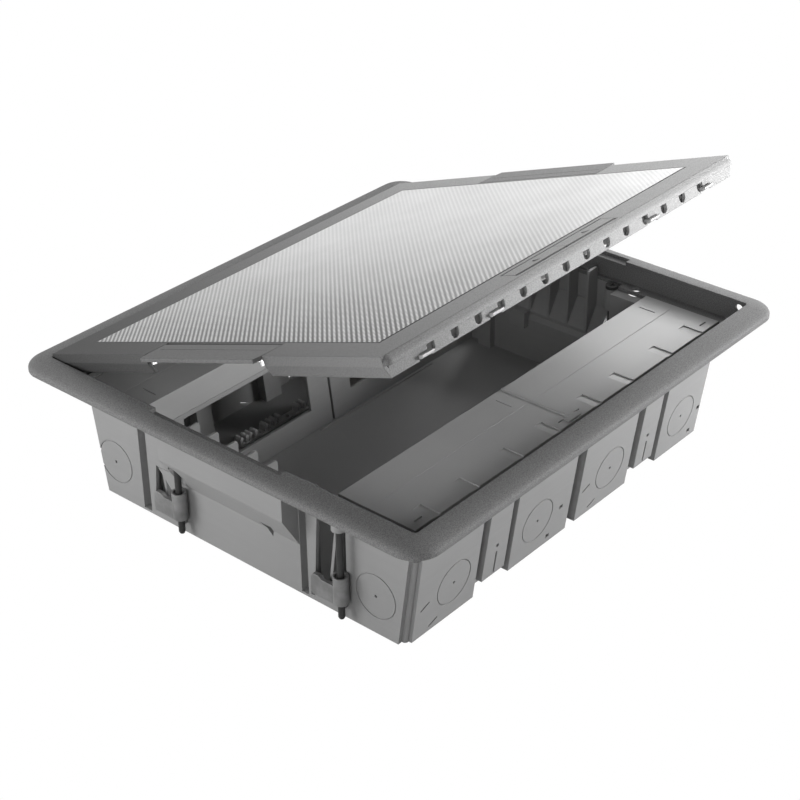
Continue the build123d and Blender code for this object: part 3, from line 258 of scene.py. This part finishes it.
def lid_plastic(name, shaded_tone, clear, rough=0.58):
    """Grained plastic of the lid, with painted shade that darkens it towards the near left corner as on
    the sheet.
    """
    g = Graph(name)
    x, y, _ = g.parts(sheet_plane(g))
    # Painted light and shade: the colour goes from the dark shaded tone pair at the near left corner to
    # the light lit tone pair (clear) elsewhere.
    painted_light = (x * 2.0 - y * 1.4 + 0.5).over(0.0, 1.0)
    grain, tone = sandpaper(g)
    near, far = (g.mix(tone, grey(low), grey(high)) for low, high in (shaded_tone, clear))
    return g.give(Base_Color=g.mix(painted_light, near, far),
                  Roughness=rough + (grain - 0.5) * 0.2,
                  Normal=g.bump(grain, 0.4, 0.00012, 0.0007),
                  Specular_IOR_Level=0.2)


def turned_brass(name):
    """Brass with fine rings left by the lathe."""
    g = Graph(name)
    lines = g.noise(g.node("ShaderNodeMapping", {}, 0, Vector=g.place(), Scale=(20.0, 20.0, 900.0)), 3.0)
    return g.give(Base_Color=g.mix(lines, (0.55, 0.38, 0.14), (0.78, 0.6, 0.3)),
                  Roughness=0.3 + lines * 0.15, Metallic=1.0,
                  Normal=g.bump(lines, 0.05, 0.0001, 0.0002))


def make_materials():
    return {
        "body_plastic": plastic("body_plastic", 0.23, 0.30, 0.55, 0.05),
        "frame_plastic": coarse("frame_plastic", 0.11, 0.21),
        "cover_plastic": plastic("cover_plastic", 0.31, 0.39, 0.42, 0.04),
        # Flap and lid take a shaded tone pair and a lit tone pair of painted light and shade; the insert
        # sheet paints its own shade and a shadow line in its joint.
        "flap_plastic": lid_plastic("flap_plastic", (0.085, 0.15), (0.19, 0.34), 0.6),
        "lid_plastic": lid_plastic("lid_plastic", (0.03, 0.06), (0.33, 0.53)),
        "insert_steel": embossed("insert_steel"),
        "galvanised": metal("galvanised", 0.62, 0.38),
        "zinc_screw": metal("zinc_screw", 0.60, 0.32, (300.0, 300.0, 4.0)),
        "shank_steel": metal("shank_steel", 0.05, 0.45, (300.0, 300.0, 4.0), 0.25, 0.6),
        "claw_steel": metal("claw_steel", 0.24, 0.48, (60.0, 60.0, 60.0), 0.2, 0.6),
        "brass": turned_brass("brass"),
        "latch_plastic": plastic("latch_plastic", 0.50, 0.62, 0.45, 0.05),
    }


def carry_materials(made):
    slots = {s["node"]: s["material_slot"] for s in frame["record"]["subparts"]}
    for name, piece in frame["nodes"].items():
        piece.data.materials.clear()
        slot = slots[name]
        if name.startswith("clamp_screw"):
            slot = "shank_steel"
        elif name in ("lid_frame", "handle_left", "handle_right"):
            slot = "lid_plastic"
        piece.data.materials.append(made[slot])


# Floor, white surround and lamps
def make_floor():
    bpy.ops.mesh.primitive_plane_add(size=FLOOR_SIZE, location=(0, 0, -FLOOR_DROP))
    floor = bpy.context.object
    floor.name = "floor"
    g = Graph("floor_white")
    seen = g.node("ShaderNodeLightPath", {}, "Is Camera Ray")
    g.give(Base_Color=grey(0.75), Roughness=0.9, Emission_Color=grey(1.0))
    glow = g.tree.nodes.new("ShaderNodeEmission")
    glow.inputs["Color"].default_value = (1, 1, 1, 1)
    both = g.tree.nodes.new("ShaderNodeMixShader")
    g.tree.links.new(seen.out, both.inputs[0])
    g.tree.links.new(g.shader.outputs["BSDF"], both.inputs[1])
    g.tree.links.new(glow.outputs[0], both.inputs[2])
    end = [n for n in g.tree.nodes if n.type == "OUTPUT_MATERIAL"][0]
    g.tree.links.new(both.outputs[0], end.inputs["Surface"])
    floor.data.materials.append(g.material)


def make_world():
    """White where the camera or a reflection sees it, and a weak even light otherwise."""
    world = bpy.data.worlds.new("world")
    bpy.context.scene.world = world
    world.use_nodes = True
    tree = world.node_tree
    tree.nodes.clear()
    path = tree.nodes.new("ShaderNodeLightPath")
    light = tree.nodes.new("ShaderNodeBackground")
    light.inputs["Color"].default_value = (1, 1, 1, 1)
    light.inputs["Strength"].default_value = AMBIENT
    white = tree.nodes.new("ShaderNodeBackground")
    white.inputs["Color"].default_value = (1, 1, 1, 1)
    mix = tree.nodes.new("ShaderNodeMixShader")
    end = tree.nodes.new("ShaderNodeOutputWorld")
    either = tree.nodes.new("ShaderNodeMath")
    either.operation = "MAXIMUM"
    tree.links.new(path.outputs["Is Camera Ray"], either.inputs[0])
    tree.links.new(path.outputs["Is Glossy Ray"], either.inputs[1])
    tree.links.new(either.outputs[0], mix.inputs[0])
    tree.links.new(light.outputs[0], mix.inputs[1])
    tree.links.new(white.outputs[0], mix.inputs[2])
    tree.links.new(mix.outputs[0], end.inputs["Surface"])


def make_lamps():
    """Soft square lamps: name, place, width and power."""
    lamps = (
        ("left", (-0.75, 0.48, 0.25), 0.45, 4.9),
        ("near", (-0.9, -0.35, 0.3), 0.4, 2.4),
        ("right", (0.76, -0.70, 0.32), 0.35, 14.0),
        ("far_right", (0.62, 0.12, 0.42), 0.3, 2.3),
        ("above", (0.5, 0.5, 1.6), 0.9, 9.0),
    )
    for name, place, size, power in lamps:
        data = bpy.data.lights.new(name, "AREA")
        data.size = size
        data.energy = power
        lamp = bpy.data.objects.new(name, data)
        lamp.location = place
        lamp.rotation_euler = (LOOK_AT - lamp.location).to_track_quat("-Z", "Y").to_euler()
        bpy.context.scene.collection.objects.link(lamp)


bpy.context.scene.view_settings.view_transform = "Standard"
make_camera()
make_floor()
make_world()
make_lamps()
carry_materials(make_materials())
